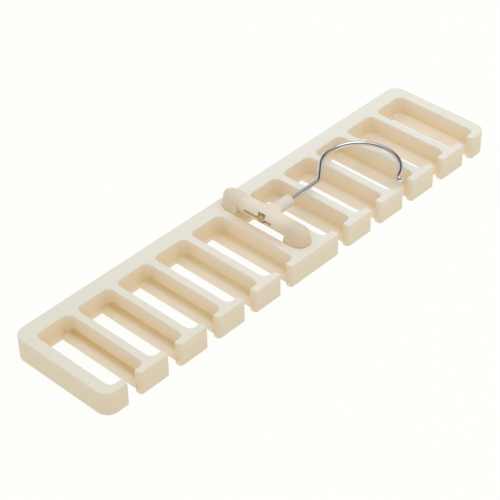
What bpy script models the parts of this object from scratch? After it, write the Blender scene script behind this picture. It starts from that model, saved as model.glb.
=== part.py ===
"""Belt hanger: a moulded ten-slot rack with a folding, swivelling wire hook.

The rack lies flat on z = 0 with its length along X and the slot mouths towards -Y.
The hook is folded down along +X, and stands upright after a quarter turn of the yoke.
Every size is in metres.
"""

import math

import bmesh
import bpy
from mathutils import Matrix, Vector

# Plan of the rack
SLOTS_PER_SIDE = 5
POCKET_WIDTH = 0.02814
POCKET_DEPTH = 0.0693
RIB_WIDTH = 0.00635
CENTRE_WIDTH = 0.0297
END_WIDTH = 0.00905
LIP_THICKNESS = 0.0055
SPINE_WIDTH = 0.0122
MOUTH_WIDTH = 0.0100
MOUTH_SHIFT = 0.0004
RACK_CORNER_RADIUS = 0.0090
POCKET_CORNER_RADIUS = 0.0045
LEFT_LIP_RADIUS = 0.0010
RIGHT_LIP_RADIUS = 0.0025
LIP_BACK_RADIUS = 0.0012
LEAST_RADIUS = 0.0003

# Section of the rack
RACK_HEIGHT = 0.0188
WALL = 0.0020
TOP_EDGE_RADIUS = 0.0010
BOTTOM_EDGE_RADIUS = 0.0012
FLANGE_WIDTH = 0.0069
FLANGE_ROOT_HEIGHT = 0.0047
FLANGE_CORNER_RADIUS = 0.0005

# Ears and the opening between them
EAR_GAP = 0.0440
EAR_BASE_HALF_WIDTH = 0.0085
EAR_FLAT_LENGTH = 0.0074
EAR_TOP_RADIUS = 0.0063
EAR_CROWN_ANGLE = 84.0
EAR_WALL = 0.0022
BEARING_WALL = 0.0025
TRUNNION_POCKET = 0.0020
CROSS_WALL = 0.0020
SKIN_HOLE_WIDTH = 0.0162
SNAP_HALF_WIDTH = 0.0029
SNAP_DROP = 0.0016
SNAP_MOUTH_HALF_WIDTH = 0.0040

# Yoke
AXIS_RISE = 0.0066
BARREL_RADIUS = 0.0063
BARREL_EDGE = 0.0005
TRUNNION_RADIUS = 0.0032
NECK_RADIUS = 0.0045
NECK_LENGTH = 0.0232
NECK_FILLET = 0.0055
NECK_EDGE = 0.0006
NECK_SINK = 0.0004
RECESS_LENGTH = 0.0250
RECESS_HEIGHT = 0.0024
RECESS_DEPTH = 0.0026
COUNTERBORE_RADIUS = 0.0035
COUNTERBORE_DEPTH = 0.0031
NOTCH_RISE = 0.0046

# Hook wire, its head, washer and ball tip
WIRE_RADIUS = 0.00175
SHANK_LENGTH = 0.0507
SHANK_BEND_RADIUS = 0.0080
SHANK_BEND_ANGLE = 37.6
LEAD_LENGTH = 0.0162
LOOP_RADIUS = 0.0282
LOOP_ANGLE = 196.6
TIP_BEND_RADIUS = 0.0060
TIP_BEND_ANGLE = 30.0
TIP_LENGTH = 0.0026
HEAD_RADIUS = 0.0026
HEAD_THICKNESS = 0.0010
WASHER_RADIUS = 0.0031
WASHER_THICKNESS = 0.0007
BALL_RADIUS = 0.0025
BALL_BORE_PAST_CENTRE = 0.0007

# Clearances
SEAT_GAP = 0.0003
RUNNING_GAP = 0.00015

# Sizes that follow
SLOT_PITCH = POCKET_WIDTH + RIB_WIDTH
RACK_LENGTH = CENTRE_WIDTH + 2 * (SLOTS_PER_SIDE * SLOT_PITCH - RIB_WIDTH + END_WIDTH)
RACK_DEPTH = LIP_THICKNESS + POCKET_DEPTH + SPINE_WIDTH
FRONT_Y = -RACK_DEPTH / 2
BACK_Y = RACK_DEPTH / 2
LIP_Y = FRONT_Y + LIP_THICKNESS
POCKET_BACK_Y = BACK_Y - SPINE_WIDTH
SKIN_Z = RACK_HEIGHT - WALL
FLANGE_SLOPE = (FLANGE_ROOT_HEIGHT - BOTTOM_EDGE_RADIUS) / FLANGE_WIDTH
HOLLOW_TURN_Z = FLANGE_ROOT_HEIGHT + WALL * (FLANGE_SLOPE - math.hypot(1, FLANGE_SLOPE))
AXIS_Z = RACK_HEIGHT + AXIS_RISE
EAR_INNER_Y = EAR_GAP / 2
POCKET_INNER_Y = EAR_INNER_Y + BEARING_WALL
CROSS_WALL_Y = POCKET_INNER_Y + TRUNNION_POCKET
EAR_ROUND_Y = EAR_INNER_Y + EAR_FLAT_LENGTH
BORE_RADIUS = WIRE_RADIUS + RUNNING_GAP
WASHER_X = -BARREL_RADIUS + COUNTERBORE_DEPTH - SEAT_GAP
HEAD_X = WASHER_X - WASHER_THICKNESS - SEAT_GAP

# How finely the shapes are cut, and how far the cutters reach past what they cut
ARC_STEPS = 4
ROUND_SIDES = 40
WIRE_STEP = 8.0
BELOW = -0.001
ROUND_OFF = 1e-6


def clear_scene():
    for obj in list(bpy.data.objects):
        bpy.data.objects.remove(obj)


def make_material(name, colour, roughness, metallic=0.0):
    material = bpy.data.materials.new(name)
    material.use_nodes = True
    shader = material.node_tree.nodes["Principled BSDF"]
    shader.inputs["Base Color"].default_value = (*colour, 1.0)
    shader.inputs["Roughness"].default_value = roughness
    shader.inputs["Metallic"].default_value = metallic
    return material


def make_collection(name):
    collection = bpy.data.collections.new(name)
    bpy.context.scene.collection.children.link(collection)
    return collection


def make_object(name, bm, collection, material=None):
    """Closes the bmesh into an object, with its faces pointing out."""
    bmesh.ops.recalc_face_normals(bm, faces=bm.faces)
    mesh = bpy.data.meshes.new(name)
    bm.to_mesh(mesh)
    bm.free()
    obj = bpy.data.objects.new(name, mesh)
    collection.objects.link(obj)
    if material:
        mesh.materials.append(material)
    return obj


def make_cutter(name, bm, place=(0, 0, 0)):
    cutter = make_object(name, bm, cutters)
    cutter.location = place
    cutter.hide_render = True
    cutter.display_type = "WIRE"
    return cutter


def combine(obj, other, operation):
    modifier = obj.modifiers.new(f"{operation.title()} {other.name}", "BOOLEAN")
    modifier.operation = operation
    modifier.object = other


def rounded(corners, steps=ARC_STEPS):
    """Points of an outline given as (x, y, radius) corners."""
    points = []
    for i, (x, y, radius) in enumerate(corners):
        corner = Vector((x, y))
        before = (Vector(corners[i - 1][:2]) - corner).normalized()
        after = (Vector(corners[(i + 1) % len(corners)][:2]) - corner).normalized()
        if radius == 0:
            points.append(corner)
            continue
        half = before.angle(after) / 2
        centre = corner + (before + after).normalized() * radius / math.sin(half)
        start = corner + before * radius / math.tan(half) - centre
        end = corner + after * radius / math.tan(half) - centre
        sweep = start.angle_signed(end)
        for step in range(steps + 1):
            turn = Matrix.Rotation(-sweep * step / steps, 2)
            points.append(centre + turn @ start)
    return points


def prism(outline, low, high):
    """An outline in the XY plane, raised from low to high."""
    bm = bmesh.new()
    face = bm.faces.new([bm.verts.new((x, y, low)) for x, y in outline])
    raised = bmesh.ops.extrude_face_region(bm, geom=[face])
    verts = [item for item in raised["geom"] if isinstance(item, bmesh.types.BMVert)]
    bmesh.ops.translate(bm, verts=verts, vec=(0, 0, high - low))
    return bm


def bar(section, y_start, y_end):
    """A section in the XZ plane, drawn out along Y."""
    bm = prism(section, y_start, y_end)
    swap = Matrix(((1, 0, 0, 0), (0, 0, 1, 0), (0, 1, 0, 0), (0, 0, 0, 1)))
    bmesh.ops.transform(bm, matrix=swap, verts=bm.verts)
    return bm


def box(low, high):
    (left, front, bottom), (right, back, top) = low, high
    return prism([(left, front), (right, front), (right, back), (left, back)], bottom, top)


def loft(rings):
    """A closed skin over rings of the same number of points."""
    bm = bmesh.new()
    loops = [[bm.verts.new(point) for point in ring] for ring in rings]
    for lower, upper in zip(loops, loops[1:]):
        for i in range(len(lower)):
            j = (i + 1) % len(lower)
            bm.faces.new((lower[i], lower[j], upper[j], upper[i]))
    bm.faces.new(list(reversed(loops[0])))
    bm.faces.new(loops[-1])
    return bm


def round_bar(radius, start, end, axis, sides=ROUND_SIDES):
    """A round bar along X or Y between two stations, centred on that axis."""
    bm = bmesh.new()
    turn = {"X": Matrix.Rotation(math.pi / 2, 4, "Y"), "Y": Matrix.Rotation(math.pi / 2, 4, "X")}[axis]
    middle = (start + end) / 2
    shift = Matrix.Translation((middle, 0, 0) if axis == "X" else (0, middle, 0))
    bmesh.ops.create_cone(
        bm,
        cap_ends=True,
        segments=sides,
        radius1=radius,
        radius2=radius,
        depth=abs(end - start),
        matrix=shift @ turn,
    )
    return bm


def bevel_rims(bm, width, chosen, segments=2):
    """Rounds the edges whose two ends both answer to chosen."""
    edges = [edge for edge in bm.edges if all(chosen(vert.co) for vert in edge.verts)]
    bmesh.ops.bevel(bm, geom=edges, offset=width, segments=segments, profile=0.5, affect="EDGES")


def slot_centres():
    """X of the middle of each slot, from left to right."""
    first = CENTRE_WIDTH / 2 + POCKET_WIDTH / 2
    right = [first + i * SLOT_PITCH for i in range(SLOTS_PER_SIDE)]
    return sorted([-x for x in right] + right)


def comb_ring(height, flange, edge, corner_radius):
    """The rack's plan at one height, with flanges in the pockets and every edge drawn in by edge."""

    def outer(radius):
        return max(radius - edge, LEAST_RADIUS)

    front = FRONT_Y + edge
    lip = LIP_Y - edge
    pocket_back = POCKET_BACK_Y + edge
    side = POCKET_WIDTH / 2 - flange + edge
    corners = [(-RACK_LENGTH / 2 + edge, front, outer(RACK_CORNER_RADIUS))]
    for centre in slot_centres():
        mouth_left = centre + MOUTH_SHIFT - MOUTH_WIDTH / 2 - edge
        mouth_right = centre + MOUTH_SHIFT + MOUTH_WIDTH / 2 + edge
        corners += [
            (mouth_left, front, outer(LEFT_LIP_RADIUS)),
            (mouth_left, lip, outer(LIP_BACK_RADIUS)),
            (centre - side, lip, corner_radius),
            (centre - side, pocket_back, corner_radius),
            (centre + side, pocket_back, corner_radius),
            (centre + side, lip, corner_radius),
            (mouth_right, lip, outer(LIP_BACK_RADIUS)),
            (mouth_right, front, outer(RIGHT_LIP_RADIUS)),
        ]
    corners += [
        (RACK_LENGTH / 2 - edge, front, outer(RACK_CORNER_RADIUS)),
        (RACK_LENGTH / 2 - edge, BACK_Y - edge, outer(RACK_CORNER_RADIUS)),
        (-RACK_LENGTH / 2 + edge, BACK_Y - edge, outer(RACK_CORNER_RADIUS)),
    ]
    return [(x, y, height) for x, y in rounded(corners)]


def rim(radius, steps=2):
    """(depth below the face, inset) at stations down a rounded edge."""
    turns = [math.pi / 2 * step / steps for step in range(steps + 1)]
    return [(radius * (1 - math.cos(turn)), radius * (1 - math.sin(turn))) for turn in turns]


def ear_profile(inset, steps=7):
    """(half-width, height above the rack's top) from the ear's foot to its crown."""
    top = EAR_TOP_RADIUS - inset
    foot = EAR_BASE_HALF_WIDTH - inset
    distance = math.hypot(foot, AXIS_RISE)
    lean = math.acos(top / distance) - math.atan2(AXIS_RISE, foot)
    points = [(foot, 0.0)]
    for step in range(steps + 1):
        angle = lean + (math.radians(EAR_CROWN_ANGLE) - lean) * step / steps
        points.append((top * math.cos(angle), AXIS_RISE + top * math.sin(angle)))
    return points


def ear_ring(half_width, height, start, end, round_steps=10):
    """A ring of the ear at one height: flat at start, and half round beyond end."""
    ring = [(-half_width, start, height), (half_width, start, height)]
    if round_steps == 0:
        return ring + [(half_width, end, height), (-half_width, end, height)]
    for step in range(round_steps + 1):
        angle = math.pi * step / round_steps
        ring.append((half_width * math.cos(angle), end + half_width * math.sin(angle), height))
    return ring


def ear_solid(inset, start, end, foot_z, round_steps=10):
    """The ear, or with an inset the hollow inside it, on the +Y side."""
    profile = ear_profile(inset)
    rings = [ear_ring(profile[0][0], foot_z, start, end, round_steps)]
    rings += [ear_ring(r, RACK_HEIGHT + z, start, end, round_steps) for r, z in profile]
    return loft(rings)


def mirrored(bm, side):
    bmesh.ops.scale(bm, vec=(1, side, 1), verts=bm.verts)
    return bm


def rack_shell(ivory):
    """The comb with rounded rims, whose pocket sides slope out into flanges near the table."""
    levels = [(z, FLANGE_WIDTH, edge, FLANGE_CORNER_RADIUS) for z, edge in rim(BOTTOM_EDGE_RADIUS)]
    levels.append((FLANGE_ROOT_HEIGHT, 0, 0, POCKET_CORNER_RADIUS))
    top = [(RACK_HEIGHT - drop, 0, edge, POCKET_CORNER_RADIUS) for drop, edge in rim(TOP_EDGE_RADIUS)]
    levels += reversed(top)
    return make_object("rack", loft([comb_ring(*level) for level in levels]), parts, ivory)


def hollow_side(half):
    """Half of a hollow's section: upright below the skin, then sloping out under the flange."""
    return [(half + (HOLLOW_TURN_Z - BELOW) / FLANGE_SLOPE, BELOW), (half, HOLLOW_TURN_Z), (half, SKIN_Z)]


def hollow_section(middle, half):
    right = [(middle + x, z) for x, z in hollow_side(half)]
    left = [(middle - x, z) for x, z in reversed(hollow_side(half))]
    return right + left


def hollow_rack(rack):
    """Opens the rack from below, leaving walls, a top skin and a hollow spine."""
    front = FRONT_Y + WALL
    back = BACK_Y - WALL
    spine_front = POCKET_BACK_Y + WALL
    end_x = RACK_LENGTH / 2 - WALL
    corner = RACK_CORNER_RADIUS - WALL
    spine = rounded(
        [(-end_x, spine_front, 0), (end_x, spine_front, 0), (end_x, back, corner), (-end_x, back, corner)]
    )
    combine(rack, make_cutter("spine_hollow", prism(spine, BELOW, SKIN_Z)), "DIFFERENCE")

    centres = slot_centres()
    for i, (left, right) in enumerate(zip(centres, centres[1:])):
        middle = (left + right) / 2
        if abs(middle) < SLOT_PITCH / 2:
            continue
        section = hollow_section(middle, RIB_WIDTH / 2 - WALL)
        cutter = make_cutter(f"rib_hollow_{i}", bar(section, front, spine_front + WALL))
        combine(rack, cutter, "DIFFERENCE")

    for side in (-1, 1):
        inner = RACK_LENGTH / 2 - END_WIDTH + WALL
        section = [(side * end_x, BELOW)]
        section += [(side * (inner - x), z) for x, z in hollow_side(0)]
        section += [(side * end_x, SKIN_Z)]
        start = FRONT_Y + RACK_CORNER_RADIUS
        cutter = make_cutter(f"end_hollow_{side}", bar(section, start, spine_front + WALL))
        combine(rack, cutter, "DIFFERENCE")


def hollow_centre(rack):
    """The room under the yoke, the hollows behind its cross walls and the hole in the skin."""
    section = hollow_section(0, CENTRE_WIDTH / 2 - WALL)
    far = CROSS_WALL_Y + CROSS_WALL
    spans = [(-CROSS_WALL_Y, CROSS_WALL_Y), (FRONT_Y + WALL, -far), (far, POCKET_BACK_Y + 2 * WALL)]
    for i, (start, end) in enumerate(spans):
        combine(rack, make_cutter(f"centre_hollow_{i}", bar(section, start, end)), "DIFFERENCE")

    half = SKIN_HOLE_WIDTH / 2
    hole = box((-half, -EAR_INNER_Y, SKIN_Z - WALL), (half, EAR_INNER_Y, RACK_HEIGHT + WALL))
    combine(rack, make_cutter("skin_hole", hole), "DIFFERENCE")


def add_ears(rack):
    """Two hollow ears whose inner walls hold the trunnions in slots that open downwards."""
    for side in (-1, 1):
        name = "front" if side < 0 else "back"
        ear = ear_solid(0, EAR_INNER_Y, EAR_ROUND_Y, RACK_HEIGHT - WALL / 2)
        combine(rack, make_cutter(f"{name}_ear", mirrored(ear, side)), "UNION")

    seat = TRUNNION_RADIUS + RUNNING_GAP
    mouth_z = SKIN_Z - WALL / 2
    snap_z = AXIS_Z - SNAP_DROP
    slot = [
        (-SNAP_MOUTH_HALF_WIDTH, mouth_z),
        (SNAP_MOUTH_HALF_WIDTH, mouth_z),
        (SNAP_HALF_WIDTH, snap_z),
        (-SNAP_HALF_WIDTH, snap_z),
    ]
    start = EAR_INNER_Y - WALL / 2
    end = POCKET_INNER_Y + TRUNNION_POCKET / 2
    far = CROSS_WALL_Y + CROSS_WALL
    for side in (-1, 1):
        name = "front" if side < 0 else "back"
        room = ear_solid(EAR_WALL, POCKET_INNER_Y, CROSS_WALL_Y, SKIN_Z - WALL / 2, 0)
        combine(rack, make_cutter(f"{name}_trunnion_room", mirrored(room, side)), "DIFFERENCE")
        hollow = ear_solid(EAR_WALL, far, EAR_ROUND_Y, SKIN_Z - WALL / 2)
        combine(rack, make_cutter(f"{name}_ear_hollow", mirrored(hollow, side)), "DIFFERENCE")
        bearing = round_bar(seat, side * start, side * end, "Y")
        place = (0, 0, AXIS_Z)
        combine(rack, make_cutter(f"{name}_bearing", bearing, place), "DIFFERENCE")
        snap = mirrored(bar(slot, start, end), side)
        combine(rack, make_cutter(f"{name}_snap_slot", snap), "DIFFERENCE")


def neck_rings(sides=32, steps=6):
    """Rings of the neck along +X, widening along Y in a fillet where they meet the barrel."""
    fillet_end = BARREL_RADIUS - NECK_SINK + NECK_FILLET
    stations = [(0.0, NECK_RADIUS + NECK_FILLET, NECK_RADIUS)]
    for step in range(steps + 1):
        angle = math.pi / 2 * step / steps
        x = fillet_end - NECK_FILLET * math.cos(angle)
        spread = NECK_FILLET * (1 - math.sin(angle))
        stations.append((x, NECK_RADIUS + spread, NECK_RADIUS))
    stations.append((NECK_LENGTH - NECK_EDGE, NECK_RADIUS, NECK_RADIUS))
    stations.append((NECK_LENGTH, NECK_RADIUS - NECK_EDGE, NECK_RADIUS - NECK_EDGE))
    rings = []
    for x, wide, tall in stations:
        turns = [2 * math.pi * i / sides for i in range(sides)]
        rings.append([(x, wide * math.cos(turn), tall * math.sin(turn)) for turn in turns])
    return rings


def make_yoke(ivory):
    """A barrel with stub trunnions and a hollow neck, on the fold axis."""
    half = EAR_INNER_Y - SEAT_GAP
    barrel = round_bar(BARREL_RADIUS, -half, half, "Y", 48)
    bevel_rims(barrel, BARREL_EDGE, lambda co: co.y > half - ROUND_OFF)
    bevel_rims(barrel, BARREL_EDGE, lambda co: co.y < -half + ROUND_OFF)
    yoke = make_object("swivel_yoke", barrel, parts, ivory)
    yoke.location = (0, 0, AXIS_Z)
    place = (0, 0, AXIS_Z)

    reach = CROSS_WALL_Y - SEAT_GAP
    trunnions = round_bar(TRUNNION_RADIUS, -reach, reach, "Y", 32)
    combine(yoke, make_cutter("trunnions", trunnions, place), "UNION")
    combine(yoke, make_cutter("neck", loft(neck_rings()), place), "UNION")

    deep = BARREL_RADIUS - RECESS_DEPTH
    outside = -BARREL_RADIUS - WALL
    recess = rounded(
        [
            (outside, -RECESS_LENGTH / 2, 0),
            (-deep, -RECESS_LENGTH / 2, RECESS_HEIGHT / 3),
            (-deep, RECESS_LENGTH / 2, RECESS_HEIGHT / 3),
            (outside, RECESS_LENGTH / 2, 0),
        ]
    )
    recess_slot = prism(recess, -RECESS_HEIGHT / 2, RECESS_HEIGHT / 2)
    combine(yoke, make_cutter("neck_recess", recess_slot, place), "DIFFERENCE")
    floor = -BARREL_RADIUS + COUNTERBORE_DEPTH
    counterbore = round_bar(COUNTERBORE_RADIUS, outside, floor, "X", 32)
    combine(yoke, make_cutter("counterbore", counterbore, place), "DIFFERENCE")
    notch_side = COUNTERBORE_RADIUS - RUNNING_GAP
    notch = box((outside, -notch_side, 0), (floor, notch_side, NOTCH_RISE))
    combine(yoke, make_cutter("head_notch", notch, place), "DIFFERENCE")
    bore = round_bar(BORE_RADIUS, outside, NECK_LENGTH + WALL, "X", 24)
    combine(yoke, make_cutter("wire_bore", bore, place), "DIFFERENCE")
    return yoke


def walk(start, moves):
    """Points and end heading of a path of straight runs and turns, in the XY plane."""
    position = Vector(start)
    heading = 0.0
    points = [position.copy()]
    for length, radius, angle in moves:
        if length:
            position += Vector((math.cos(heading), math.sin(heading))) * length
            points.append(position.copy())
            continue
        steps = max(2, round(abs(angle) / WIRE_STEP))
        turn = math.radians(angle) / steps
        chord = 2 * radius * math.sin(abs(turn) / 2)
        for _ in range(steps):
            heading += turn / 2
            position += Vector((math.cos(heading), math.sin(heading))) * chord
            heading += turn / 2
            points.append(position.copy())
    return points, heading


def hook_path():
    return walk(
        (HEAD_X, 0),
        [
            (SHANK_LENGTH - HEAD_X, 0, 0),
            (0, SHANK_BEND_RADIUS, SHANK_BEND_ANGLE),
            (LEAD_LENGTH, 0, 0),
            (0, LOOP_RADIUS, -LOOP_ANGLE),
            (0, TIP_BEND_RADIUS, TIP_BEND_ANGLE),
            (TIP_LENGTH, 0, 0),
        ],
    )


def make_hook(chrome):
    """The bent wire with an upset head behind the washer."""
    points, _ = hook_path()
    curve = bpy.data.curves.new("hook_path", "CURVE")
    curve.dimensions = "3D"
    curve.bevel_depth = WIRE_RADIUS
    curve.bevel_resolution = 4
    curve.use_fill_caps = True
    spline = curve.splines.new("POLY")
    spline.points.add(len(points) - 1)
    for knot, point in zip(spline.points, points):
        knot.co = (point.x, point.y, 0, 1)
    tube = bpy.data.objects.new("hook_path", curve)
    parts.objects.link(tube)
    bpy.context.view_layer.update()
    graph = bpy.context.evaluated_depsgraph_get()
    mesh = bpy.data.meshes.new_from_object(tube.evaluated_get(graph))
    bpy.data.objects.remove(tube)
    bm = bmesh.new()
    bm.from_mesh(mesh)
    bmesh.ops.remove_doubles(bm, verts=bm.verts, dist=ROUND_OFF)
    hook = make_object("hook_wire", bm, parts, chrome)
    hook.location = (0, 0, AXIS_Z)
    head = round_bar(HEAD_RADIUS, HEAD_X - HEAD_THICKNESS, HEAD_X, "X", 24)
    bevel_rims(head, HEAD_THICKNESS / 3, lambda co: co.x < HEAD_X - HEAD_THICKNESS + ROUND_OFF)
    combine(hook, make_cutter("wire_head", head, (0, 0, AXIS_Z)), "UNION")
    return hook


def make_washer(steel):
    washer = round_bar(WASHER_RADIUS, WASHER_X - WASHER_THICKNESS, WASHER_X, "X", 32)
    washer = make_object("retaining_washer", washer, parts, steel)
    washer.location = (0, 0, AXIS_Z)
    hole = round_bar(BORE_RADIUS, WASHER_X - 2 * WASHER_THICKNESS, WASHER_X + WASHER_THICKNESS, "X", 24)
    combine(washer, make_cutter("washer_hole", hole, (0, 0, AXIS_Z)), "DIFFERENCE")
    return washer


def make_ball(chrome):
    """A ball with a blind bore that the wire's end seats in."""
    points, heading = hook_path()
    past = BALL_BORE_PAST_CENTRE - SEAT_GAP
    centre = points[-1] - Vector((math.cos(heading), math.sin(heading))) * past
    place = Matrix.Translation((centre.x, centre.y, 0)) @ Matrix.Rotation(heading, 4, "Z")
    poles = Matrix.Rotation(math.pi / 2, 4, "Y")
    bm = bmesh.new()
    bmesh.ops.create_uvsphere(bm, u_segments=24, v_segments=14, radius=BALL_RADIUS, matrix=place @ poles)
    ball = make_object("ball_tip", bm, parts, chrome)
    ball.location = (0, 0, AXIS_Z)
    bore = round_bar(BORE_RADIUS, -2 * BALL_RADIUS, BALL_BORE_PAST_CENTRE, "X", 24)
    bmesh.ops.transform(bore, matrix=place, verts=bore.verts)
    combine(ball, make_cutter("ball_bore", bore, (0, 0, AXIS_Z)), "DIFFERENCE")
    return ball


def add_pivots(yoke, hook_pieces):
    """Empties on the fold axis and the swivel axis carry the moving pieces."""
    fold = bpy.data.objects.new("fold_axis", None)
    swivel = bpy.data.objects.new("swivel_axis", None)
    for empty in (fold, swivel):
        parts.objects.link(empty)
        empty.empty_display_size = BARREL_RADIUS
    fold.location = (0, 0, AXIS_Z)
    swivel.parent = fold
    for piece, parent in [(yoke, fold)] + [(piece, swivel) for piece in hook_pieces]:
        piece.parent = parent
        piece.location = (0, 0, 0)


clear_scene()
parts = make_collection("belt_hanger")
cutters = make_collection("cutters")
ivory_plastic = make_material("ivory_plastic", (0.76, 0.71, 0.60), 0.45)
chrome_plate = make_material("chrome_plate", (0.80, 0.80, 0.80), 0.12, 1.0)
plain_steel = make_material("plain_steel", (0.55, 0.55, 0.54), 0.30, 1.0)
rack_body = rack_shell(ivory_plastic)
hollow_rack(rack_body)
hollow_centre(rack_body)
add_ears(rack_body)
yoke_body = make_yoke(ivory_plastic)
hook_body = make_hook(chrome_plate)
washer_body = make_washer(plain_steel)
ball_body = make_ball(chrome_plate)
add_pivots(yoke_body, (hook_body, washer_body, ball_body))
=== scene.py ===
"""Looks of the belt hanger: satin ivory mouldings and a chromed hook in a white studio.

Sizes are in metres, in the CAD's own frame: the rack lies on z = 0 with its slot mouths towards -Y.
"""

import math

import bmesh
import bpy
from mathutils import Matrix, Vector


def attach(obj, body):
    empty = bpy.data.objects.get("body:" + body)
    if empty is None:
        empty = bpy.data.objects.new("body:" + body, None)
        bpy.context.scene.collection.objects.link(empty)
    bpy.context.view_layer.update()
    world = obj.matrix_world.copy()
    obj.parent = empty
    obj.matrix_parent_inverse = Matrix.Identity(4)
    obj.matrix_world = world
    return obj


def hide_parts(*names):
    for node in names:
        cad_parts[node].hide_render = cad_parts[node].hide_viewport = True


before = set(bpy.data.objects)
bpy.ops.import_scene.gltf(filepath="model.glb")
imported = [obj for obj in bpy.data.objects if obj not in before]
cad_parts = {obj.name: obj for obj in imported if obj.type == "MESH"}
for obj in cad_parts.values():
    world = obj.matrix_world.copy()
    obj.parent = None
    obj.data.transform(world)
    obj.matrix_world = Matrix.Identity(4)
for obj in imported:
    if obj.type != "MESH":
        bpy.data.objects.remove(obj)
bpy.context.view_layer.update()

# Camera, fitted to the rack's edges and slots
CAMERA_PLACE = Vector((-0.639741, -0.601440, 0.702090))
CAMERA_RIGHT = Vector((0.68341381, -0.72979064, -0.01874017))
CAMERA_DOWN = Vector((-0.4677538, -0.41803146, -0.7787529))
CAMERA_LENS = 117.904
CAMERA_REACH = 20
SENSOR_WIDTH = 36.0
HALF_PIXEL = 0.5 / 500

# Rack
SLOTS_PER_SIDE = 5
POCKET_WIDTH = 0.02814
POCKET_DEPTH = 0.0693
RIB_WIDTH = 0.00635
CENTRE_WIDTH = 0.0297
END_WIDTH = 0.00905
LIP_THICKNESS = 0.0055
SPINE_WIDTH = 0.0122
MOUTH_WIDTH = 0.0100
MOUTH_SHIFT = 0.0004
RACK_CORNER_RADIUS = 0.0090
POCKET_CORNER_RADIUS = 0.0045
LEFT_LIP_RADIUS = 0.0010
RIGHT_LIP_RADIUS = 0.0025
LIP_BACK_RADIUS = 0.0012
LEAST_RADIUS = 0.0003
RACK_HEIGHT = 0.0188
WALL = 0.0020
TOP_EDGE_RADIUS = 0.0010
BOTTOM_EDGE_RADIUS = 0.0012
FLANGE_WIDTH = 0.0069
FLANGE_ROOT_HEIGHT = 0.0047
FLANGE_CORNER_RADIUS = 0.0005
FLANGE_FILLET = 0.0016
HOLLOW_FILLET = 0.0005

# Ears
EAR_GAP = 0.0440
EAR_BASE_HALF_WIDTH = 0.0085
EAR_FLAT_LENGTH = 0.0074
EAR_TOP_RADIUS = 0.0063
EAR_UPRIGHT = 0.0040
EAR_FULLNESS = 2.5
EAR_BACK_EXTRA = 0.0018
EAR_CROWN_ANGLE = 88
EAR_FOOT_FILLET = 0.0005
EAR_WALL = 0.0022
BEARING_WALL = 0.0025
TRUNNION_POCKET = 0.0020
CROSS_WALL = 0.0020
SKIN_HOLE_WIDTH = 0.0162
SNAP_HALF_WIDTH = 0.0029
SNAP_DROP = 0.0016
SNAP_MOUTH_HALF_WIDTH = 0.0040

# Yoke
AXIS_Z = RACK_HEIGHT + 0.0066
BARREL_RADIUS = 0.0063
BARREL_END_EDGE = 0.00025
BARREL_END_GAP = 0.00012
TRUNNION_RADIUS = 0.0032
TRUNNION_EDGE = 0.0005
NECK_RADIUS = 0.0045
NECK_LENGTH = 0.0232
NECK_FILLET = 0.0075
NECK_EDGE = 0.0006
NECK_SINK = 0.0004
RECESS_LENGTH = 0.0250
RECESS_HEIGHT = 0.0024
RECESS_DEPTH = 0.0026
RECESS_SHIFT = 0.0030
COUNTERBORE_RADIUS = 0.0035
COUNTERBORE_DEPTH = 0.0031
NOTCH_RISE = 0.0046

# Hook wire, its head, washer and ball tip
WIRE_RADIUS = 0.00175
SHANK_LENGTH = 0.0507
SHANK_BEND_RADIUS = 0.0080
SHANK_BEND_ANGLE = 37.6
LEAD_LENGTH = 0.0162
LOOP_RADIUS = 0.0282
LOOP_ANGLE = 196.6
TIP_BEND_RADIUS = 0.0060
TIP_BEND_ANGLE = 30.0
TIP_LENGTH = 0.0026
HEAD_RADIUS = 0.0026
HEAD_THICKNESS = 0.0010
WASHER_RADIUS = 0.0031
WASHER_THICKNESS = 0.0007
BALL_RADIUS = 0.0025
BALL_BORE_PAST_CENTRE = 0.0007

SEAT_GAP = 0.0003
RUNNING_GAP = 0.00015

# Sizes that follow
SLOT_PITCH = POCKET_WIDTH + RIB_WIDTH
RACK_LENGTH = CENTRE_WIDTH + 2 * (SLOTS_PER_SIDE * SLOT_PITCH - RIB_WIDTH + END_WIDTH)
RACK_DEPTH = LIP_THICKNESS + POCKET_DEPTH + SPINE_WIDTH
FRONT_Y = -RACK_DEPTH / 2
BACK_Y = RACK_DEPTH / 2
LIP_Y = FRONT_Y + LIP_THICKNESS
POCKET_BACK_Y = BACK_Y - SPINE_WIDTH
SKIN_Z = RACK_HEIGHT - WALL
FLANGE_SLOPE = (FLANGE_ROOT_HEIGHT - BOTTOM_EDGE_RADIUS) / FLANGE_WIDTH
HOLLOW_TURN_Z = FLANGE_ROOT_HEIGHT + WALL * (FLANGE_SLOPE - math.hypot(1, FLANGE_SLOPE))
EAR_INNER_Y = EAR_GAP / 2
POCKET_INNER_Y = EAR_INNER_Y + BEARING_WALL
CROSS_WALL_Y = POCKET_INNER_Y + TRUNNION_POCKET
CROSS_WALL_FAR_Y = CROSS_WALL_Y + CROSS_WALL
EAR_ROUND_Y = EAR_INNER_Y + EAR_FLAT_LENGTH
RECESS_CORNER_RADIUS = RECESS_HEIGHT / 3
BORE_RADIUS = WIRE_RADIUS + RUNNING_GAP
WASHER_X = -BARREL_RADIUS + COUNTERBORE_DEPTH - SEAT_GAP
WASHER_EDGE = WASHER_THICKNESS / 5
HEAD_X = WASHER_X - WASHER_THICKNESS - SEAT_GAP
HEAD_BACK_RADIUS = HEAD_THICKNESS / 3
HEAD_FRONT_EDGE = HEAD_THICKNESS / 6
BELOW = -0.001

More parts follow.
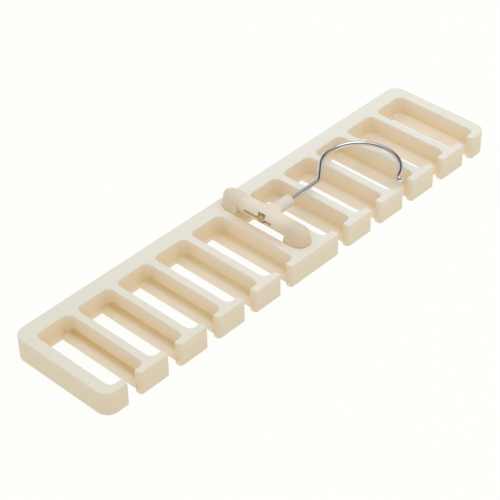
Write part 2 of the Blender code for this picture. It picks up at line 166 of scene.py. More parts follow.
# How finely curves are drawn, and how faces are joined and shaded
CORNER_STEPS = 6
RIM_STEPS = 5
SMALL_RIM_STEPS = 4
FOOT_FILLET_STEPS = 4
EAR_PROFILE_STEPS = 16
EAR_END_STEPS = 24
NECK_FILLET_STEPS = 14
TURNED_SIDES = 64
BARREL_SIDES = 96
WIRE_SIDES = 32
WIRE_TURN_STEP = 3.0
BALL_STEPS = 28
BALL_CLOSING_TURN = 0.01
BORE_END_RADIUS = 1e-5
MERGE_DISTANCE = 1e-7
SHARP_ANGLE = 34.0
SHADING_WEIGHT = 50

# Ivory plastic: its own tones, and the painted shade, glow and highlight laid over them
IVORY_LEFT = (0.765, 0.722, 0.615)
IVORY_RIGHT = (0.822, 0.785, 0.695)
# Painted shade: a duller straw low on the faces outside the pockets
LOW_PAINTED_SHADE = (0.715, 0.660, 0.525)
# Painted shade in the pockets, warmed like light through the plastic: honey walls, paler near their
# tops, deepest in the valley over the flange
WALL_PAINTED_SHADE = (0.865, 0.738, 0.550)
WALL_TOP_PAINTED_SHADE = (0.865, 0.775, 0.638)
VALLEY_LEFT_PAINTED_SHADE = (0.730, 0.555, 0.260)
VALLEY_RIGHT_PAINTED_SHADE = (0.850, 0.705, 0.485)
# Painted light: flanges paler, as if lit through their thin edges from the floor
FLANGE_PAINTED_LIGHT = (0.93, 0.85, 0.71)
# Painted shadow of the yoke on the strip of the rack's top beside it
STRIP_PAINTED_SHADOW = (0.73, 0.58, 0.39)
BARREL_CREAM = (0.80, 0.59, 0.37)
# Painted shade on the ears, deepest at their feet, with a painted contact shadow line where they
# meet the top
EAR_PAINTED_SHADE = (0.64, 0.53, 0.38)
FOOT_PAINTED_SHADE = (0.72, 0.55, 0.31)
FOOT_SHADE = (0.42, 0.35, 0.22)
# Painted shade on the neck
NECK_PAINTED_SHADE = (0.65, 0.585, 0.56)
CLOUD_PALE = (0.83, 0.78, 0.70)
FLOW_DULL = (0.72, 0.62, 0.46)
SPECK_BROWN = (0.50, 0.40, 0.26)
# Painted highlight along the edges
EDGE_PAINTED_HIGHLIGHT = (0.90, 0.87, 0.81)

# Ivory plastic: how far it looks for walls near by, from what share of them it counts as deep for
# the painted shade, and between which places each painted tone fades in or out
WIDE_REACH = 0.040
NEAR_REACH = 0.006
EDGE_REACH = 0.0011
POCKET_SHADE_FADE = (0.06, 0.24)
WALL_SHADE_DEPTH = (0.04, 0.34)
VALLEY_SHADE_DEPTH = (0.36, 0.66)
VALLEY_START = (0.0012, 0.0038)
VALLEY_END = (0.0052, 0.0100)
VALLEY_BACK_FADE = 0.0035
LOW_SHADE_FADE = (0.004, RACK_HEIGHT * 1.4)
TOP_EDGE_FADE = 0.0009
FLANGE_LIGHT_FADE = (0.0029, 0.0043)
FLANGE_LIGHT_RIGHT_RISE = 0.0013
WALL_TOP_SHADE_FADE = (0.0110, 0.0165)
SKIN_FADE = 0.001
EAR_SHADE_FADE = (0.012, 0.027)
FRONT_EAR_SHADE_FADE = (0.0, 0.02)
FOOT_SHADE_FADE = (RACK_HEIGHT + 0.0004, RACK_HEIGHT + 0.0018)
SHADOW_STRIP_MIDDLE = (CENTRE_WIDTH + SKIN_HOLE_WIDTH) / 4
SHADOW_STRIP_SIDE_FADE = (0.0026, 0.0048)
SHADOW_STRIP_END_FADE = (0.016, 0.030)
SHADOW_STRIP_DROP = 0.0016
NECK_SHADE_FADE = 0.006
EAR_SHADE_SHARE = 0.58
FRONT_EAR_EXTRA_SHADE = 0.14

# Ivory plastic: moulding clouds, flow marks, specks, grain, sinks and hairline scratches
CLOUD_SCALE = 38.0
FLOW_SCALE = 60.0
FLOW_STRETCH = (0.35, 1.6, 1.0)
SPECK_SCALE = 950.0
GRAIN_SCALE = 2600.0
GRAIN_DEPTH = 0.00003
SINK_SCALE = 85.0
SINK_DEPTH = 0.00012
SCRATCH_STRETCH = (420.0, 30.0, 420.0)
SCRATCH_PATCH_SCALE = 55.0
SCRATCH_DEPTH = 0.00001
PLASTIC_ROUGHNESS = 0.36
PLASTIC_IOR = 1.48
PLASTIC_SPECULAR = 0.42

# Chrome
CHROME = (0.74, 0.7289, 0.7067)
CHROME_BLOOM = (0.56, 0.54, 0.51)
CHROME_PIT = (0.42, 0.40, 0.38)
TARNISH = (0.60, 0.46, 0.24)
CHROME_ROUGHNESS = 0.03
HAZE_SCALE = 120.0
HAZE_DEPTH = 0.00002
PIT_SCALE = 2100.0
DRAW_LINE_STRETCH = (160.0, 160.0, 3800.0)
DRAW_LINE_DEPTH = 0.000004
RAW_END_FADE = (HEAD_X - 0.0002, HEAD_X + 0.0002)

# Steel washer
STEEL = (0.62, 0.56, 0.44)
STEEL_ROUGHNESS = 0.30
ROLLED_STRETCH = (3000.0, 260.0, 2600.0)
ROLLED_DEPTH = 0.00001
BLOOM_SCALE = 420.0

# Studio
FLOOR_HALF_SIZE = 6
FLOOR_DROP = 0.0002
FLOOR_PAINT = (0.88, 0.76, 0.58)
FLOOR_WHITE = (0.92, 0.92, 0.92)
FLOOR_SHINE = (1.0, 1.0, 0.975)
# Share of the floor's light that is its own warm glow
FLOOR_WARM_GLOW = 0.95
FLOOR_GLOW = 0.93
KEY_PLACE = (0.35, -0.35, 1.6)
KEY_SIZE = 1.2
KEY_POWER = 4.0
CARD_FADE = (-0.5, 0.5)
SKY_STOPS = [(0.0, (0.90, 0.82, 0.70)), (0.45, (0.92, 0.90, 0.86)), (1.0, (0.86, 0.92, 1.0))]
# Painted reflections: grey bands that only glossy rays see
NEAR_CARDS = [(0.0, 0.60), (0.22, 0.50), (0.44, 0.05), (0.70, 0.05), (0.86, 0.90), (1.0, 1.15)]
FAR_CARDS = [(0.0, 0.75), (0.36, 0.80), (0.52, 0.10), (0.66, 0.10), (0.80, 0.85), (1.0, 1.15)]


# Mesh making


def make_object(name, bm):
    bmesh.ops.remove_doubles(bm, verts=bm.verts, dist=MERGE_DISTANCE)
    bmesh.ops.recalc_face_normals(bm, faces=bm.faces)
    mesh = bpy.data.meshes.new(name)
    bm.to_mesh(mesh)
    bm.free()
    obj = bpy.data.objects.new(name, mesh)
    bpy.context.scene.collection.objects.link(obj)
    return obj


def lifted(bm, place=(0, 0, AXIS_Z)):
    bmesh.ops.translate(bm, verts=bm.verts, vec=place)
    return bm


def rounded(corners, steps=CORNER_STEPS):
    """Points of a closed outline given as (x, y, radius) corners."""
    points = []
    for i, (x, y, radius) in enumerate(corners):
        corner = Vector((x, y))
        if radius == 0:
            points.append(corner)
            continue
        before = (Vector(corners[i - 1][:2]) - corner).normalized()
        after = (Vector(corners[(i + 1) % len(corners)][:2]) - corner).normalized()
        half = before.angle(after) / 2
        centre = corner + (before + after).normalized() * radius / math.sin(half)
        start = corner + before * radius / math.tan(half) - centre
        end = corner + after * radius / math.tan(half) - centre
        sweep = start.angle_signed(end)
        for step in range(steps + 1):
            points.append(centre + Matrix.Rotation(-sweep * step / steps, 2) @ start)
    return points


def rim(radius, steps=RIM_STEPS):
    """(depth below the face, inset) at stations down a rounded edge."""
    turns = [math.pi / 2 * step / steps for step in range(steps + 1)]
    return [(radius * (1 - math.cos(turn)), radius * (1 - math.sin(turn))) for turn in turns]


def loft(rings, closed=False):
    """A skin over rings of the same number of points, with end faces unless the rings close."""
    bm = bmesh.new()
    loops = [[bm.verts.new(point) for point in ring] for ring in rings]
    for lower, upper in zip(loops, loops[1:] + loops[:1] if closed else loops[1:]):
        for i in range(len(lower)):
            j = (i + 1) % len(lower)
            bm.faces.new((lower[i], lower[j], upper[j], upper[i]))
    if not closed:
        bm.faces.new(list(reversed(loops[0])))
        bm.faces.new(loops[-1])
    return bm


def prism(outline, low, high):
    """An outline in the XY plane, raised from low to high."""
    return loft([[(x, y, z) for x, y in outline] for z in (low, high)])


def bar(section, y_start, y_end):
    """A section in the XZ plane, drawn out along Y."""
    return loft([[(x, y, z) for x, z in section] for y in (y_start, y_end)])


def turned(profile, axis="X", sides=TURNED_SIDES, closed=False):
    """A profile of (station, radius) turned round the X or Y axis."""
    rings = []
    for station, radius in profile:
        ring = []
        for i in range(sides):
            turn = 2 * math.pi * i / sides
            a, b = radius * math.cos(turn), radius * math.sin(turn)
            ring.append((station, a, b) if axis == "X" else (a, station, b))
        rings.append(ring)
    return loft(rings, closed)


def cut(name, body, additions, cutters):
    """The body with the additions joined on and the cutters taken out, as one plain mesh."""
    obj = make_object(name, body)
    helpers = []
    for operation, shapes in (("UNION", additions), ("DIFFERENCE", cutters)):
        for i, shape in enumerate(shapes):
            helper = make_object(f"{name}_{operation.lower()}_{i}", shape)
            modifier = obj.modifiers.new(helper.name, "BOOLEAN")
            modifier.operation = operation
            modifier.object = helper
            helpers.append(helper)
    bpy.context.view_layer.update()
    graph = bpy.context.evaluated_depsgraph_get()
    mesh = bpy.data.meshes.new_from_object(obj.evaluated_get(graph))
    obj.modifiers.clear()
    obj.data = mesh
    mesh.name = name
    for helper in helpers:
        bpy.data.objects.remove(helper)
    return obj


def finish_piece(obj, body, node, material):
    """Smooth shading with crisp creases, then the material and the frame's own labels."""
    mesh = obj.data
    mesh.materials.clear()
    mesh.materials.append(material)
    mesh.polygons.foreach_set("use_smooth", [True] * len(mesh.polygons))
    mesh.set_sharp_from_angle(angle=math.radians(SHARP_ANGLE))
    weighted = obj.modifiers.new("even_shading", "WEIGHTED_NORMAL")
    weighted.weight = SHADING_WEIGHT
    weighted.keep_sharp = True
    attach(obj, body)
    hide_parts(node)


# Rack


def slot_centres():
    first = CENTRE_WIDTH / 2 + POCKET_WIDTH / 2
    right = [first + i * SLOT_PITCH for i in range(SLOTS_PER_SIDE)]
    return sorted([-x for x in right] + right)


def comb_ring(height, flange, edge):
    """The rack's plan at one height, with flanges in the pockets and all edges drawn in by edge."""

    def outer(radius):
        return max(radius - edge, LEAST_RADIUS)

    spread = flange / FLANGE_WIDTH
    corner = POCKET_CORNER_RADIUS + (FLANGE_CORNER_RADIUS - POCKET_CORNER_RADIUS) * spread
    front = FRONT_Y + edge
    lip = LIP_Y - edge
    pocket_back = POCKET_BACK_Y + edge
    side = POCKET_WIDTH / 2 - flange + edge
    corners = [(-RACK_LENGTH / 2 + edge, front, outer(RACK_CORNER_RADIUS))]
    for centre in slot_centres():
        mouth_left = centre + MOUTH_SHIFT - MOUTH_WIDTH / 2 - edge
        mouth_right = centre + MOUTH_SHIFT + MOUTH_WIDTH / 2 + edge
        corners += [
            (mouth_left, front, outer(LEFT_LIP_RADIUS)),
            (mouth_left, lip, outer(LIP_BACK_RADIUS)),
            (centre - side, lip, corner),
            (centre - side, pocket_back, corner),
            (centre + side, pocket_back, corner),
            (centre + side, lip, corner),
            (mouth_right, lip, outer(LIP_BACK_RADIUS)),
            (mouth_right, front, outer(RIGHT_LIP_RADIUS)),
        ]
    corners += [
        (RACK_LENGTH / 2 - edge, front, outer(RACK_CORNER_RADIUS)),
        (RACK_LENGTH / 2 - edge, BACK_Y - edge, outer(RACK_CORNER_RADIUS)),
        (-RACK_LENGTH / 2 + edge, BACK_Y - edge, outer(RACK_CORNER_RADIUS)),
    ]
    return [(x, y, height) for x, y in rounded(corners)]


def flange_levels():
    """(height, width) of the flange from its edge up to where it has blended into the wall."""
    outline = [
        (FLANGE_WIDTH, BOTTOM_EDGE_RADIUS, 0),
        (0, FLANGE_ROOT_HEIGHT, FLANGE_FILLET),
        (0, RACK_HEIGHT, 0),
        (FLANGE_WIDTH, RACK_HEIGHT, 0),
    ]
    return [(z, width) for width, z in rounded(outline)[1:-2]]


def comb():
    levels = [(z, FLANGE_WIDTH, edge) for z, edge in rim(BOTTOM_EDGE_RADIUS, SMALL_RIM_STEPS)]
    levels += [(z, width, 0) for z, width in flange_levels()]
    levels += reversed([(RACK_HEIGHT - drop, 0, edge) for drop, edge in rim(TOP_EDGE_RADIUS)])
    return loft([comb_ring(*level) for level in levels])


def hollow_side(half):
    """Half of a hollow's section: upright below the skin, then sloping out under the flange."""
    return [
        (half + (HOLLOW_TURN_Z - BELOW) / FLANGE_SLOPE, BELOW, 0),
        (half, HOLLOW_TURN_Z, HOLLOW_FILLET),
        (half, SKIN_Z, HOLLOW_FILLET),
    ]


def hollow_section(middle, half):
    right = [(middle + x, z, radius) for x, z, radius in hollow_side(half)]
    left = [(middle - x, z, radius) for x, z, radius in reversed(hollow_side(half))]
    return rounded(right + left)


def comb_hollows():
    """What opens the underside: the spine, each rib, both ends and the centre block."""
    back = BACK_Y - WALL
    spine_front = POCKET_BACK_Y + WALL
    end_x = RACK_LENGTH / 2 - WALL
    corner = RACK_CORNER_RADIUS - WALL
    spine = [
        (-end_x, spine_front, 0),
        (end_x, spine_front, 0),
        (end_x, back, corner),
        (-end_x, back, corner),
    ]
    shapes = [prism(rounded(spine), BELOW, SKIN_Z)]
    centres = slot_centres()
    for left, right in zip(centres, centres[1:]):
        middle = (left + right) / 2
        if abs(middle) > SLOT_PITCH / 2:
            section = hollow_section(middle, RIB_WIDTH / 2 - WALL)
            shapes.append(bar(section, FRONT_Y + WALL, spine_front + WALL))
    for side in (-1, 1):
        inner = RACK_LENGTH / 2 - END_WIDTH + WALL
        section = [(side * end_x, BELOW, 0)]
        section += [(side * (inner - x), z, radius) for x, z, radius in hollow_side(0)]
        section += [(side * end_x, SKIN_Z, HOLLOW_FILLET)]
        shapes.append(bar(rounded(section), FRONT_Y + RACK_CORNER_RADIUS, spine_front + WALL))
    section = hollow_section(0, CENTRE_WIDTH / 2 - WALL)
    shapes.append(bar(section, -CROSS_WALL_Y, CROSS_WALL_Y))
    shapes.append(bar(section, FRONT_Y + WALL, -CROSS_WALL_FAR_Y))
    shapes.append(bar(section, CROSS_WALL_FAR_Y, spine_front + WALL))
    half = SKIN_HOLE_WIDTH / 2
    front, rear = -EAR_INNER_Y, EAR_INNER_Y
    skin_hole = [(-half, front), (half, front), (half, rear), (-half, rear)]
    shapes.append(prism(skin_hole, SKIN_Z - WALL, RACK_HEIGHT + WALL))
    return shapes


def foot_fillet(foot, lean_up, size):
    """(half-width, height) stations that curve from the rack's top up into the ear's side."""
    across = Vector((1, 0))
    points = []
    for step in range(FOOT_FILLET_STEPS + 1):
        share = step / FOOT_FILLET_STEPS
        point = Vector((foot, 0)) + across * size * (1 - share) ** 2 + lean_up * size * share**2
        points.append((point.x, point.y))
    return points


def ear_profile(inset, fillet):
    """(half-width, height above the rack's top) from the ear's foot to its crown."""
    top = EAR_TOP_RADIUS - inset
    foot = EAR_BASE_HALF_WIDTH - inset
    rise = AXIS_Z - RACK_HEIGHT
    lean = math.acos(top / math.hypot(foot, rise)) - math.atan2(rise, foot)
    lean_up = Vector((top * math.cos(lean) - foot, rise + top * math.sin(lean))).normalized()
    points = foot_fillet(foot, lean_up, fillet) if fillet else [(foot, 0.0)]
    crown = math.radians(EAR_CROWN_ANGLE)
    for step in range(EAR_PROFILE_STEPS + 1):
        angle = lean + (crown - lean) * step / EAR_PROFILE_STEPS
        points.append((top * math.cos(angle), rise + top * math.sin(angle)))
    return points


def ear_ring(half_width, reach, height, start, end, round_steps):
    """A ring of the ear at one height: flat at start, and rounded off by reach beyond end."""
    ring = [(-half_width, start, height), (half_width, start, height)]
    if round_steps == 0:
        return ring + [(half_width, end, height), (-half_width, end, height)]
    for step in range(round_steps + 1):
        angle = math.pi * step / round_steps
        ring.append((half_width * math.cos(angle), end + reach * math.sin(angle), height))
    return ring


def ear_reach(half_width, rise, inset, side):
    """How far the ear's far end stands out: upright below, then domed up to the crown."""
    if inset:
        return half_width
    full_rise = AXIS_Z - RACK_HEIGHT + EAR_TOP_RADIUS
    share = max(0.0, rise - EAR_UPRIGHT) / (full_rise - EAR_UPRIGHT)
    dome = max(0.0, 1 - share**EAR_FULLNESS) ** (1 / EAR_FULLNESS)
    return max(half_width, (EAR_BASE_HALF_WIDTH + EAR_BACK_EXTRA * (side > 0)) * dome)


def ear_solid(inset, start, end, foot_z, side, round_steps=EAR_END_STEPS):
    profile = ear_profile(inset, 0 if inset else EAR_FOOT_FILLET)
    profile.insert(0, (profile[0][0], foot_z - RACK_HEIGHT))
    rings = []
    for half_width, rise in profile:
        reach = ear_reach(half_width, rise, inset, side)
        rings.append(ear_ring(half_width, reach, RACK_HEIGHT + rise, start, end, round_steps))
    bm = loft(rings)
    bmesh.ops.scale(bm, vec=(1, side, 1), verts=bm.verts)
    return bm


def ear_hollows(side):
    """The room behind the bearing wall, the hollow crown, the bearing and its snap slot."""
    start = EAR_INNER_Y - WALL / 2
    end = POCKET_INNER_Y + TRUNNION_POCKET / 2
    seat = TRUNNION_RADIUS + RUNNING_GAP
    mouth_z = SKIN_Z - WALL / 2
    snap_z = AXIS_Z - SNAP_DROP
    slot = [
        (-SNAP_MOUTH_HALF_WIDTH, mouth_z),
        (SNAP_MOUTH_HALF_WIDTH, mouth_z),
        (SNAP_HALF_WIDTH, snap_z),
        (-SNAP_HALF_WIDTH, snap_z),
    ]
    return [
        ear_solid(EAR_WALL, POCKET_INNER_Y, CROSS_WALL_Y, mouth_z, side, 0),
        ear_solid(EAR_WALL, CROSS_WALL_FAR_Y, EAR_ROUND_Y, mouth_z, side),
        lifted(turned([(side * start, seat), (side * end, seat)], "Y")),
        bar(slot, side * start, side * end),
    ]


def make_rack(material):
    foot_z = RACK_HEIGHT - WALL / 2
    ears = [ear_solid(0, EAR_INNER_Y, EAR_ROUND_Y, foot_z, side) for side in (-1, 1)]
    rack = cut("rack_moulding", comb(), ears, comb_hollows() + ear_hollows(-1) + ear_hollows(1))
    finish_piece(rack, "rack_body", "rack", material)


# Yoke


def neck_rings():
    """Rings of the neck along +X, widening along Y in a fillet where they meet the barrel."""
    fillet_end = BARREL_RADIUS - NECK_SINK + NECK_FILLET
    stations = [(0.0, NECK_RADIUS + NECK_FILLET, NECK_RADIUS)]
    for step in range(NECK_FILLET_STEPS + 1):
        angle = math.pi / 2 * step / NECK_FILLET_STEPS
        x = fillet_end - NECK_FILLET * math.cos(angle)
        stations.append((x, NECK_RADIUS + NECK_FILLET * (1 - math.sin(angle)), NECK_RADIUS))
    for drop, inset in reversed(rim(NECK_EDGE)):
        stations.append((NECK_LENGTH - drop, NECK_RADIUS - inset, NECK_RADIUS - inset))
    turns = [2 * math.pi * i / TURNED_SIDES for i in range(TURNED_SIDES)]
    rings = []
    for x, wide, tall in stations:
        rings.append([(x, wide * math.cos(turn), tall * math.sin(turn)) for turn in turns])
    return rings


def yoke_cutters():
    """The recess bar, the counterbore with its notch, and the wire's bore, all from the back."""
    outside = -BARREL_RADIUS - WALL
    recess_floor = -BARREL_RADIUS + RECESS_DEPTH
    recess_start = RECESS_SHIFT - RECESS_LENGTH / 2
    recess_end = RECESS_SHIFT + RECESS_LENGTH / 2
    recess = rounded(
        [
            (outside, recess_start, 0),
            (recess_floor, recess_start, RECESS_CORNER_RADIUS),
            (recess_floor, recess_end, RECESS_CORNER_RADIUS),
            (outside, recess_end, 0),
        ]
    )
    floor_x = -BARREL_RADIUS + COUNTERBORE_DEPTH
    side = COUNTERBORE_RADIUS - RUNNING_GAP
    notch = [(outside, -side), (floor_x, -side), (floor_x, side), (outside, side)]
    return [
        prism(recess, -RECESS_HEIGHT / 2, RECESS_HEIGHT / 2),
        turned([(outside, COUNTERBORE_RADIUS), (floor_x, COUNTERBORE_RADIUS)]),
        prism(notch, 0, NOTCH_RISE),
        turned([(outside, BORE_RADIUS), (NECK_LENGTH + WALL, BORE_RADIUS)]),
    ]


def make_yoke(material):
    half = EAR_INNER_Y - BARREL_END_GAP
    end_rim = [(half - drop, BARREL_RADIUS - inset) for drop, inset in rim(BARREL_END_EDGE)]
    barrel = [(-station, radius) for station, radius in end_rim] + list(reversed(end_rim))
    reach = CROSS_WALL_Y - SEAT_GAP
    stubs = [(-reach, TRUNNION_RADIUS - TRUNNION_EDGE), (-reach + TRUNNION_EDGE, TRUNNION_RADIUS)]
    stubs += [(-station, radius) for station, radius in reversed(stubs)]
    body = lifted(turned(barrel, "Y", BARREL_SIDES))
    additions = [lifted(turned(stubs, "Y")), lifted(loft(neck_rings()))]
    yoke = cut("yoke_moulding", body, additions, [lifted(bm) for bm in yoke_cutters()])
    finish_piece(yoke, "yoke", "swivel_yoke", material)


# Hook


def hook_path():
    """Points and headings along the wire's centre line, in the plane of the folded hook."""
    position, heading = Vector((HEAD_X - HEAD_THICKNESS / 2, 0)), 0.0
    points = [(position.copy(), heading)]
    moves = [
        (SHANK_LENGTH - position.x, 0, 0),
        (0, SHANK_BEND_RADIUS, SHANK_BEND_ANGLE),
        (LEAD_LENGTH, 0, 0),
        (0, LOOP_RADIUS, -LOOP_ANGLE),
        (0, TIP_BEND_RADIUS, TIP_BEND_ANGLE),
        (TIP_LENGTH, 0, 0),
    ]
    for length, radius, angle in moves:
        steps = max(1, round(abs(angle) / WIRE_TURN_STEP))
        turn = math.radians(angle) / steps
        chord = length or 2 * radius * math.sin(abs(turn) / 2)
        for _ in range(steps):
            heading += turn / 2
            position += Vector((math.cos(heading), math.sin(heading))) * chord
            heading += turn / 2
            points.append((position.copy(), heading))
    return points


def make_wire(material):
    """The bent wire, swept ring by ring, with an upset head behind the washer."""
    rings = []
    for point, heading in hook_path():
        side = Vector((-math.sin(heading), math.cos(heading)))
        ring = []
        for i in range(WIRE_SIDES):
            turn = 2 * math.pi * i / WIRE_SIDES
            out = side * WIRE_RADIUS * math.cos(turn)
            ring.append((point.x + out.x, point.y + out.y, WIRE_RADIUS * math.sin(turn)))
        rings.append(ring)
    back = HEAD_X - HEAD_THICKNESS
    back_rim = rim(HEAD_BACK_RADIUS, SMALL_RIM_STEPS)
    profile = [(back + drop, HEAD_RADIUS - inset) for drop, inset in back_rim]
    profile.append((HEAD_X - HEAD_FRONT_EDGE, HEAD_RADIUS))
    profile.append((HEAD_X, HEAD_RADIUS - HEAD_FRONT_EDGE))
    wire = cut("chromed_hook", lifted(loft(rings)), [lifted(turned(profile))], [])
    finish_piece(wire, "hook", "hook_wire", material)


def make_ball(material):
    """A turned ball with a blind bore, its mouth broken by a small chamfer."""
    mouth = BORE_RADIUS + RUNNING_GAP
    start = math.asin(mouth / BALL_RADIUS)
    profile = [(BALL_BORE_PAST_CENTRE, BORE_END_RADIUS), (BALL_BORE_PAST_CENTRE, BORE_RADIUS)]
    profile.append((-BALL_RADIUS * math.cos(start) + RUNNING_GAP, BORE_RADIUS))
    for step in range(BALL_STEPS + 1):
        turn = start + (math.pi - start - BALL_CLOSING_TURN) * step / BALL_STEPS
        profile.append((-BALL_RADIUS * math.cos(turn), BALL_RADIUS * math.sin(turn)))
    bm = turned(profile)
    end, heading = hook_path()[-1]
    direction = Vector((math.cos(heading), math.sin(heading)))
    centre = end - direction * (BALL_BORE_PAST_CENTRE - SEAT_GAP)
    turn = Matrix.Translation((centre.x, centre.y, AXIS_Z)) @ Matrix.Rotation(heading, 4, "Z")
    bmesh.ops.transform(bm, matrix=turn, verts=bm.verts)
    finish_piece(make_object("chromed_ball", bm), "hook", "ball_tip", material)


def make_washer(material):
    """A stamped washer: sheared edges, one side a little rounder than the other."""
    back = WASHER_X - WASHER_THICKNESS
    profile = [
        (back, BORE_RADIUS + WASHER_EDGE),
        (back, WASHER_RADIUS - WASHER_EDGE),
        (back + WASHER_EDGE, WASHER_RADIUS),
        (WASHER_X - WASHER_EDGE / 2, WASHER_RADIUS),
        (WASHER_X, WASHER_RADIUS - WASHER_EDGE / 2),
        (WASHER_X, BORE_RADIUS),
        (back + WASHER_EDGE, BORE_RADIUS),
    ]
    washer = make_object("turned_washer", lifted(turned(profile, closed=True)))
    finish_piece(washer, "hook", "retaining_washer", material)


# Materials


class Signal:
    """A shader socket on which Python's operators add Math nodes."""

    def __init__(self, bench, socket):
        self.bench = bench
        self.socket = socket

    def math(self, operation, first, second=0.0):
        return self.bench.node("ShaderNodeMath", {"operation": operation}, {0: first, 1: second})

    def __add__(self, other):
        return self.math("ADD", self, other)

    def __radd__(self, other):
        return self.math("ADD", other, self)

    def __sub__(self, other):
        return self.math("SUBTRACT", self, other)

    def __rsub__(self, other):
        return self.math("SUBTRACT", other, self)

    def __mul__(self, other):
        return self.math("MULTIPLY", self, other)

    def __rmul__(self, other):
        return self.math("MULTIPLY", other, self)

    def __abs__(self):
        return self.math("ABSOLUTE", self)

    def above(self, low, high):
        """0 below low, 1 above high and a smooth rise between."""
        settings = {"interpolation_type": "SMOOTHSTEP"}
        inputs = {"Value": self, "From Min": low, "From Max": high}
        return self.bench.node("ShaderNodeMapRange", settings, inputs)


class Bench:
    """Node maker for one material, or for the light all round."""

    def __init__(self, owner):
        owner.use_nodes = True
        self.owner = owner
        self.tree = owner.node_tree
        self.tree.nodes.clear()

    def node(self, kind, settings, inputs, output=0):
        """Any node: its settings first, then the values or links of its sockets."""
        made = self.tree.nodes.new(kind)
        for name, value in settings.items():
            if name == "stops":
                self.set_stops(made.color_ramp.elements, value)
            else:
                setattr(made, name, value)
        for name, value in inputs.items():
            self.feed(made.inputs[name], value)
        return Signal(self, made.outputs[output]) if made.outputs else None

    def set_stops(self, elements, stops):
        for position, _ in stops[2:]:
            elements.new(position)
        for element, (position, colour) in zip(elements, stops):
            element.position = position
            element.color = (*colour, 1)

    def feed(self, socket, value):
        if isinstance(value, Signal):
            self.tree.links.new(value.socket, socket)
        elif socket.type == "RGBA":
            socket.default_value = (*value, 1.0)
        else:
            socket.default_value = value

    def place(self, axis=None):
        """The place on the object, or its distance along one axis."""
        spot = self.node("ShaderNodeTexCoord", {}, {}, "Object")
        return self.node("ShaderNodeSeparateXYZ", {}, {"Vector": spot}, axis) if axis else spot

    def noise(self, scale, detail=2.0, roughness=0.5, stretch=(1.0, 1.0, 1.0)):
        """Noise from 0 to 1, with scale patches to the metre, or more along a stretched axis."""
        stretched = self.node("ShaderNodeMapping", {}, {"Vector": self.place(), "Scale": stretch})
        inputs = {"Vector": stretched, "Scale": scale, "Detail": detail, "Roughness": roughness}
        return self.node("ShaderNodeTexNoise", {}, inputs, "Fac")

    def mix(self, share, first, second):
        inputs = {0: share, 6: first, 7: second}
        return self.node("ShaderNodeMix", {"data_type": "RGBA"}, inputs, 2)

    def ramp(self, share, stops):
        return self.node("ShaderNodeValToRGB", {"stops": stops}, {"Fac": share}, "Color")

    def bump(self, height, distance, strength, below=None):
        inputs = {"Height": height, "Distance": distance, "Strength": strength}
        if below:
            inputs["Normal"] = below
        return self.node("ShaderNodeBump", {}, inputs, "Normal")

    def closeness(self, reach, inside=False):
        """0 on open surfaces, towards 1 in recesses within reach, or seen from inside, at edges."""
        settings = {"only_local": True, "samples": 16, "inside": inside}
        return 1 - self.node("ShaderNodeAmbientOcclusion", settings, {"Distance": reach}, "AO")

    def surface(self, **sockets):
        """The shader, its sockets given by name with _ for a space."""
        inputs = {name.replace("_", " "): value for name, value in sockets.items()}
        shader = self.node("ShaderNodeBsdfPrincipled", {}, inputs)
        self.node("ShaderNodeOutputMaterial", {}, {"Surface": shader})
        return self.owner


